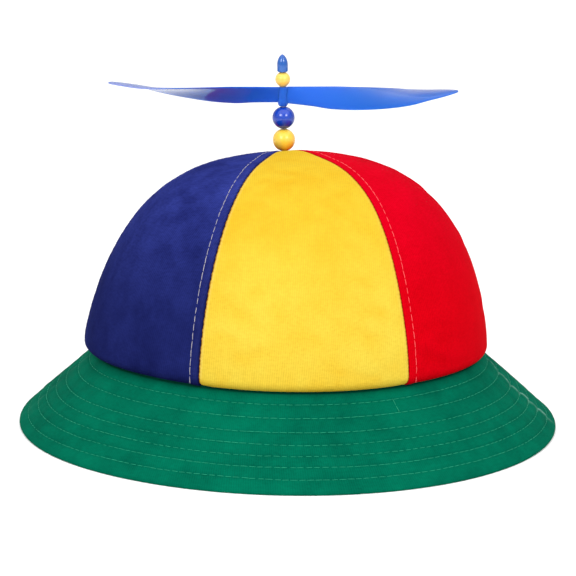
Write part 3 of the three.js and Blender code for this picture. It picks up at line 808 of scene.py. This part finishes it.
# Stitches
def stitchTree():
    tree = bpy.data.node_groups.new("stitchRow", "GeometryNodeTree")
    tree.is_modifier = True
    face = tree.interface
    face.new_socket("Geometry", in_out="INPUT", socket_type="NodeSocketGeometry")
    for name in ("Pitch", "Length", "Thread", "Rise", "Sink"):
        face.new_socket(name, in_out="INPUT", socket_type="NodeSocketFloat")
    face.new_socket("Seed", in_out="INPUT", socket_type="NodeSocketInt")
    face.new_socket("Material", in_out="INPUT", socket_type="NodeSocketMaterial")
    face.new_socket("Geometry", in_out="OUTPUT", socket_type="NodeSocketGeometry")
    given = tree.nodes.new("NodeGroupInput").outputs
    result = tree.nodes.new("NodeGroupOutput").inputs

    def add(kind, sockets, **settings):
        return addNode(tree, kind, sockets, settings)

    def combine(x, y, z):
        return add("ShaderNodeCombineXYZ", {0: x, 1: y, 2: z})

    def times(value, factor):
        return add("ShaderNodeMath", {0: value, 1: factor}, operation="MULTIPLY")

    def scatter(low, high):
        return add("FunctionNodeRandomValue", {"Min": low, "Max": high, "Seed": given["Seed"]},
                   data_type="FLOAT_VECTOR")

    rowCurve = add("GeometryNodeMeshToCurve", {"Mesh": given["Geometry"]})
    evenly = add("GeometryNodeResampleCurve", {"Curve": rowCurve, "Length": given["Pitch"]}, mode="LENGTH")
    half, sunk = times(given["Length"], 0.5), times(given["Sink"], -1.0)
    bow = add("GeometryNodeCurveQuadraticBezier", {
        "Resolution": 4, "Start": combine(times(half, -1.0), 0.0, sunk),
        "Middle": combine(0.0, 0.0, times(given["Rise"], 2.0)), "End": combine(half, 0.0, sunk)})
    yarn = add("GeometryNodeCurvePrimitiveCircle", {"Resolution": 6, "Radius": times(given["Thread"], 0.5)},
               mode="RADIUS")
    loop = add("GeometryNodeCurveToMesh", {"Curve": bow, "Profile Curve": yarn, "Fill Caps": True})
    smoothLoop = add("GeometryNodeSetShadeSmooth", {"Geometry": loop})
    outward = add("GeometryNodeInputNamedAttribute", {"Name": "outward"}, data_type="FLOAT_VECTOR")
    tangent = add("GeometryNodeInputTangent", {})
    alongRow = add("FunctionNodeAlignRotationToVector", {"Vector": tangent}, axis="X")
    standing = add("FunctionNodeAlignRotationToVector", {"Rotation": alongRow, "Vector": outward},
                   axis="Z", pivot_axis="X")
    skew = scatter((-0.05, -0.03, -0.06), (0.05, 0.03, 0.06))
    uneven = add("FunctionNodeRotateRotation", {"Rotation": standing, "Rotate By": skew},
                 rotation_space="LOCAL")
    stretch = scatter((0.9, 0.9, 0.8), (1.05, 1.1, 1.15))
    sewn = add("GeometryNodeInstanceOnPoints", {
        "Points": evenly, "Instance": smoothLoop, "Rotation": uneven, "Scale": stretch})
    real = add("GeometryNodeRealizeInstances", {"Geometry": sewn})
    dyed = add("GeometryNodeSetMaterial", {"Geometry": real, "Material": given["Material"]})
    tree.links.new(dyed, result[0])
    return tree


stitchRow = stitchTree()


def sewRows(name, paths, material, sizes):
    # paths are (points, outward directions, closed) in millimetres
    points, outward, edges = [], [], []
    for spots, ways, isClosed in paths:
        start = len(points)
        count = len(spots)
        points.extend((np.asarray(spots) * mm).tolist())
        outward.extend(np.asarray(ways).tolist())
        edges.extend((start + i, start + (i + 1) % count) for i in range(count if isClosed else count - 1))
    mesh = bpy.data.meshes.new(name + "Path")
    mesh.from_pydata(points, edges, [])
    layer = mesh.attributes.new("outward", "FLOAT_VECTOR", "POINT")
    layer.data.foreach_set("vector", np.asarray(outward, np.float32).reshape(-1))
    path = newObject(name + "Path", mesh)
    sewing = path.modifiers.new("stitches", "NODES")
    sewing.node_group = stitchRow
    wanted = {key.capitalize(): sizes[key] * mm for key in ("pitch", "length", "thread", "rise", "sink")}
    wanted.update({"Seed": sizes["seed"], "Material": material})
    for item in stitchRow.interface.items_tree:
        if item.in_out == "INPUT" and item.name in wanted:
            sewing[item.identifier] = wanted[item.name]
    bpy.context.view_layer.update()
    ready = path.evaluated_get(bpy.context.evaluated_depsgraph_get())
    sewn = bpy.data.meshes.new_from_object(ready)
    path.modifiers.remove(sewing)
    bpy.data.objects.remove(path)
    sewn.name = name
    return newObject(name, sewn)


def seamPaths(colour, isInside):
    climb = np.arange(stitch["fromFoot"], crownClimb - stitch["fromTip"], 0.5)
    fromSeam = crown["stitchInset"] * seamScale(climb)
    half = panelHalfWidth(climb)
    paths = []
    for middle, panelColour, stitched in panels.values():
        for side in stitched if panelColour == colour else ():
            angle = math.radians(middle) + side * (half - fromSeam) / half * np.pi / 6
            base, normal = crownAt(angle, climb), crownNormal(angle, climb)
            relief = clothRelief(base, fromSeam, climb, True)
            if isInside:
                depth = crown["wall"] + crown["lap"] + np.maximum(0, -relief) * 0.5
                paths.append((base - normal * depth[:, None], -normal, False))
            else:
                paths.append((base + normal * relief[:, None], normal, False))
    return paths


for threadColour in ("blue", "red"):
    threadPaths = seamPaths(threadColour, False) + seamPaths(threadColour, True)
    sewnRows = sewRows("seam_stitches_" + threadColour, threadPaths, thread[threadColour], stitch)
    settle(sewnRows, "hat")

brimStitch = {
    "pitch": 3.6, "length": 3.4, "thread": 0.27, "rise": 0.07, "sink": 0.12, "seed": 9,
    "pathPoints": 1400, "wander": 0.35,
    "crossing": 24.6, "crossingRows": (0, 1),  # degrees, where the thread steps from one row to the next
    "crossingInset": 1.8, "crossingSlant": 0.0006, "crossingLift": 0.1,
}


def brimPaths():
    paths = []
    angle = np.linspace(0, 2 * np.pi, brimStitch["pathPoints"], endpoint=False)
    length = brimLine(angle)[3]
    for row in brim["rows"]:
        down = np.full_like(angle, row)
        sway = latticeNoise(stacked(np.cos(angle) * 3, np.sin(angle) * 3, down), 1, 41)
        down = down + brimStitch["wander"] * sway
        paths.append((brimPoint(angle, down, brimRelief(angle, down, length)), brimSlope(angle), True))
        paths.append((brimPoint(angle, down, underLift(angle, down, length)), -brimSlope(angle), True))
    first, second = (brim["rows"][row] for row in brimStitch["crossingRows"])
    step = np.linspace(first + brimStitch["crossingInset"], second - brimStitch["crossingInset"], 24)
    start = np.full_like(step, math.radians(brimStitch["crossing"]))
    angle = start + (step - first) * brimStitch["crossingSlant"]
    lift = brimRelief(angle, step, brimLine(angle)[3]) + brimStitch["crossingLift"]
    paths.append((brimPoint(angle, step, lift), brimSlope(angle), False))
    return paths


settle(sewRows("brim_stitches", brimPaths(), thread["green"], brimStitch), "hat")
print("stitches: seams and brim sewn")


# Pin, beads and cap
pin = {
    "leanLeft": 2.0, "leanForward": 0.9, "radius": 1.0,  # degrees, millimetres
    "headRadius": 6.0, "headThickness": 1.2, "headDepth": 3.4,
    "bead": 5.4, "smallBead": 3.6, "bore": 1.3, "crownGap": 0.4, "gap": 0.3,
    "ballSides": 72, "smallSides": 64, "rodSides": 48,
    "capRadius": 2.65, "capLength": 8.4, "capStraight": 3.1, "capChamfer": 0.6, "capBore": 5.0,
    "noseUp": 2.0, "noseOut": 1.55,  # powers of the nose's pointed arch
}
propeller = {
    "neck": 2.15, "hubLength": 9.3, "bore": 1.4, "rock": 2.45, "turn": -4.5,
    "bulb": 2.55, "lip": 1.5, "bulbHeight": 2.2, "bulbTop": 4.4,
    "thickness": 1.1, "edgeShare": 0.5, "edgePower": 14, "tipThinner": 0.35, "camber": 0.05, "lead": 0.45,
    # bloom weighs a pale painted reflection on the upper side of the blades' outer part
    "steps": 96, "chordSteps": 17, "tipSpacing": 1.25, "hubSides": 64, "paintedReflection": 0.42,
}


def leanTurn():
    forward = Matrix.Rotation(math.radians(pin["leanForward"]), 3, "X")
    return forward @ Matrix.Rotation(-math.radians(pin["leanLeft"]), 3, "Y")


pinFoot = (crownPoint(0.0, tipSpread, 0.0) + crownPoint(math.pi, tipSpread, 0.0)) / 2
pinTurn = np.array(leanTurn())


def onPin(height):
    return lambda points: (np.asarray(points) + [0, 0, height]) @ pinTurn.T + pinFoot


def beadLength(radius):
    return 2 * math.sqrt(radius ** 2 - pin["bore"] ** 2)


def beadProfile(radius):
    # drilled ball with softened bore edges
    middle = beadLength(radius) / 2
    boreAngle = math.degrees(math.acos((pin["bore"] + 0.25) / radius))
    outline = roundArc((0, middle), radius, -boreAngle, boreAngle, 61)
    lip = outline[-1][1] - middle
    mouth = [[pin["bore"] + 0.06, middle + lip - 0.06], [pin["bore"], middle + lip - 0.3]]
    return outline + mouth + [[r, 2 * middle - h] for r, h in mouth[::-1]] + outline[:1]


stackHeight = pin["crownGap"]
for beadName, beadNode, radius, look, slot in (
        ("ball_lower", "bead_lower", pin["bead"], "beadYellow", "bead_yellow"),
        ("ball_middle", "bead_middle", pin["bead"], "beadBlue", "bead_blue")):
    ball = turnedPiece(beadName, beadProfile(radius), pin["ballSides"], plastic[look], onPin(stackHeight))
    settle(ball, "hat", beadNode)
    stackHeight += beadLength(radius) + pin["gap"]
hubHeight = stackHeight
stackHeight += propeller["hubLength"] + pin["gap"]
ball = turnedPiece("ball_upper", beadProfile(pin["smallBead"]), pin["smallSides"], plastic["beadPale"],
                   onPin(stackHeight))
settle(ball, "hat", "bead_upper")
stackHeight += beadLength(pin["smallBead"]) + pin["gap"]
capHeight = stackHeight


def capProfile():
    rise = np.sin(np.linspace(0, np.pi / 2, 30))
    width = pin["capRadius"] * np.clip(1 - rise ** pin["noseUp"], 0, 1) ** (1 / pin["noseOut"])
    nose = stacked(width, pin["capStraight"] + (pin["capLength"] - pin["capStraight"]) * rise).tolist()
    flat = pin["capRadius"] - pin["capChamfer"]
    mouth = [[0, pin["capBore"]], [pin["bore"] - 0.2, pin["capBore"]], [pin["bore"], pin["capBore"] - 0.2],
             [pin["bore"], 0.15], [pin["bore"] + 0.15, 0], [flat, 0]]
    return mouth + roundArc((flat, pin["capChamfer"]), pin["capChamfer"], -70, -5, 6) + nose


def pinProfile():
    top = capHeight + pin["capBore"] - pin["gap"]
    head, deep = pin["headRadius"], -pin["headDepth"]
    low = deep - pin["headThickness"]
    return ([[0, low - 0.25], [head * 0.55, low - 0.18]] + roundArc((head - 0.5, low + 0.5), 0.5, -90, 0, 6)
            + roundArc((head - 0.35, deep - 0.35), 0.35, 0, 90, 5)
            + [[pin["radius"] + 0.3, deep], [pin["radius"], deep + 0.3], [pin["radius"], top - 0.2],
               [pin["radius"] - 0.2, top], [0, top]])


bullet = turnedPiece("bullet_cap", capProfile(), pin["smallSides"], plastic["cap"], onPin(capHeight))
settle(bullet, "hat", "nose_cap")
settle(turnedPiece("headed_pin", pinProfile(), pin["rodSides"], steel, onPin(0)), "hat", "pin")
print("pin: beads, cap and rod made")


# Propeller
bladeTable = [  # distance from the axis, width, drop across the width, leading edge below the hub's top
    (1.9, 2.2, 7.8, -0.1), (14, 6.2, 8.6, -0.15), (24, 10, 9.5, -0.15), (34, 13.6, 9.1, 0.1),
    (44, 17.4, 7.9, 0.4), (54, 19.8, 6.2, 0.75), (62, 20.4, 4.2, 1.15), (69, 19.2, 2.3, 1.05),
    (76, 15.2, 1.2, 0.55), (80.4, 10.2, 0.5, 0.25), (82.6, 6, 0.2, 0.1), (83.5, 2, 0.1, 0.05),
]


def bladePoints():
    radius, width, drop, below = np.array(bladeTable).T
    share = np.linspace(0, 1, propeller["steps"])
    place = radius[0] + (radius[-1] - radius[0]) * (1 - (1 - share) ** propeller["tipSpacing"])
    chordShare = (1 - np.cos(np.linspace(0, np.pi, propeller["chordSteps"]))) / 2
    sections = []
    for r in place:
        w, d, b = (float(alongTable(r, radius, column)) for column in (width, drop, below))
        chord = math.hypot(w, d)
        bow = 4 * chordShare * (1 - chordShare)
        thin = 1 - propeller["tipThinner"] * smoothStep(60, 82, r)
        edge = propeller["edgeShare"]
        half = propeller["thickness"] / 2 * thin * (edge + (1 - edge) * np.sqrt(bow))
        rounded = 1 - np.abs(2 * chordShare - 1) ** propeller["edgePower"]
        half = half * np.sqrt(np.clip(rounded, 0.02, 1))
        lead = propeller["hubLength"] - b

        def side(sign):
            offset = propeller["camber"] * chord * bow + sign * half
            return stacked(np.full_like(chordShare, r),
                           (propeller["lead"] - chordShare) * w - offset * d / chord,
                           lead - chordShare * d + offset * w / chord)

        sections.append(np.concatenate([side(1), side(-1)[::-1]]))
    isUpper = np.concatenate([np.ones_like(chordShare), np.zeros_like(chordShare)])
    ahead = np.concatenate([chordShare, chordShare[::-1]])
    # painted light: a lighter tone near the hub, for the light through the plastic
    paintedRootLight = (1 - smoothStep(10, 48, place))[:, None] * np.ones_like(ahead)
    # painted reflection: pale lavender on the upper side near the leading edge, towards the tips
    reflectionAcross = propeller["paintedReflection"] * isUpper * (1 - smoothStep(0.15, 0.75, ahead))
    paintedReflection = smoothStep(40, 66, place)[:, None] * reflectionAcross[None, :]
    return np.array(sections), paintedRootLight, paintedReflection


def makePropeller():
    blade, paintedRootLight, paintedReflection = bladePoints()
    rows, size = blade.shape[:2]
    shell = shellFaces(rows, size)
    length, bore, neck, lip, bulb, bulbHeight, sides = (propeller[key] for key in (
        "hubLength", "bore", "neck", "lip", "bulb", "bulbHeight", "hubSides"))
    swell = np.linspace(0, np.pi / 2, 12)
    bowl = stacked(lip + (bulb - lip) * np.sin(swell), bulbHeight * (1 - np.cos(swell)))
    taper = np.linspace(0, 1, 9)[1:]
    waist = stacked(bulb + (neck - bulb) * smoothStep(0, 1, taper),
                    bulbHeight + (propeller["bulbTop"] - bulbHeight) * taper)
    shoulder = roundArc((neck - 0.3, length - 0.3), 0.3, 0, 90, 6)
    outline = np.array([[bore, 0.1]] + bowl.tolist() + waist.tolist() + shoulder
                       + [[bore + 0.2, length], [bore, length - 0.2]])
    angle = np.linspace(0, 2 * np.pi, sides, endpoint=False)[:, None]
    hub = stacked(outline[:, 0] * np.cos(angle), outline[:, 0] * np.sin(angle), outline[:, 1])
    points = [blade.reshape(-1, 3), blade.reshape(-1, 3) * [-1, -1, 1], hub.reshape(-1, 3)]
    hubFaces = loopFaces(sides, len(outline), True)[:, ::-1]
    faces = np.concatenate([shell, shell + rows * size, hubFaces + 2 * rows * size])
    rest = (Matrix.Rotation(math.radians(propeller["rock"]), 3, "Y")
            @ Matrix.Rotation(math.radians(propeller["turn"]), 3, "Z"))
    spot = (np.concatenate(points) - [0, 0, length / 2]) @ np.array(rest).T
    spot = onPin(hubHeight + length / 2)(spot)
    # the hub takes the painted root light in full and none of the painted reflection
    hubShare = np.ones(sides * len(outline))
    return makePiece("twisted_propeller", spot, faces, plastic["blade"], {
        "paintedRootLight": np.concatenate([paintedRootLight.ravel(), paintedRootLight.ravel(), hubShare]),
        "paintedReflection": np.concatenate([paintedReflection.ravel(), paintedReflection.ravel(), 0 * hubShare]),
    }, sharpAngle=45)


settle(makePropeller(), "propeller", "propeller")
print("propeller: made")


# Floor and light
studio = {  # the floor in millimetres, the lamps and their aim in metres
    "floorTone": 0.9, "floorTint": 1.01, "floorHalf": 8000, "floorHeight": -0.05, "sky": 0.72,
    "aimHeight": 0.09, "topPower": 63.0, "topSize": 5.0, "topHeight": 2.5, "topBack": 0.15,
    "lamps": (  # turn and rise in degrees, then distance, power and size
        ("keyLeft", -34, 33, 1.5, 8.0, 0.6), ("keyRight", 34, 33, 1.5, 8.2, 0.6),
        ("fillBack", 180, 16, 3.5, 30.0, 2.0)),  # soft light on the back
}


def makeStudio():
    finish = Finish("paleFloor", **{"Roughness": 0.7, "Specular IOR Level": 0.1})
    tone, half, low = studio["floorTone"], studio["floorHalf"], studio["floorHeight"]
    finish.drive("Base Color", finish.mix(finish.noise(3, 1), (tone,) * 3, (tone * studio["floorTint"],) * 3))
    corners = [[-half, -half, low], [half, -half, low], [half, half, low], [-half, half, low]]
    floor = makePiece("floor", corners, [[0, 1, 2, 3]], finish.material)
    world = bpy.data.worlds.new("studio")
    world.use_nodes = True
    sky = world.node_tree.nodes["Background"]
    sky.inputs["Color"].default_value = (1, 1, 1, 1)
    sky.inputs["Strength"].default_value = studio["sky"]
    bpy.context.scene.world = world
    aim = Vector((0, 0, studio["aimHeight"]))

    def lamp(name, spot, power, size, shape):
        data = bpy.data.lights.new(name, "AREA")
        data.energy = power
        data.shape = shape
        data.size = size
        light = newObject(name, data)
        light.location = spot
        light.rotation_euler = (aim - spot).to_track_quat("-Z", "Y").to_euler()
        return light

    for name, turn, rise, distance, power, size in studio["lamps"]:
        away = awayAt(math.radians(view["azimuth"] + turn), math.radians(rise))
        light = lamp(name, aim + away * distance, power, size, "DISK")
        light.visible_glossy = name != "fillBack"
    above = Vector((0, studio["topBack"], studio["topHeight"]))
    lamp("overhead", above, studio["topPower"], studio["topSize"], "SQUARE")


makeStudio()
bpy.context.scene.view_settings.view_transform = "Standard"
bpy.context.scene.view_settings.look = "None"
print("studio: floor and lights")
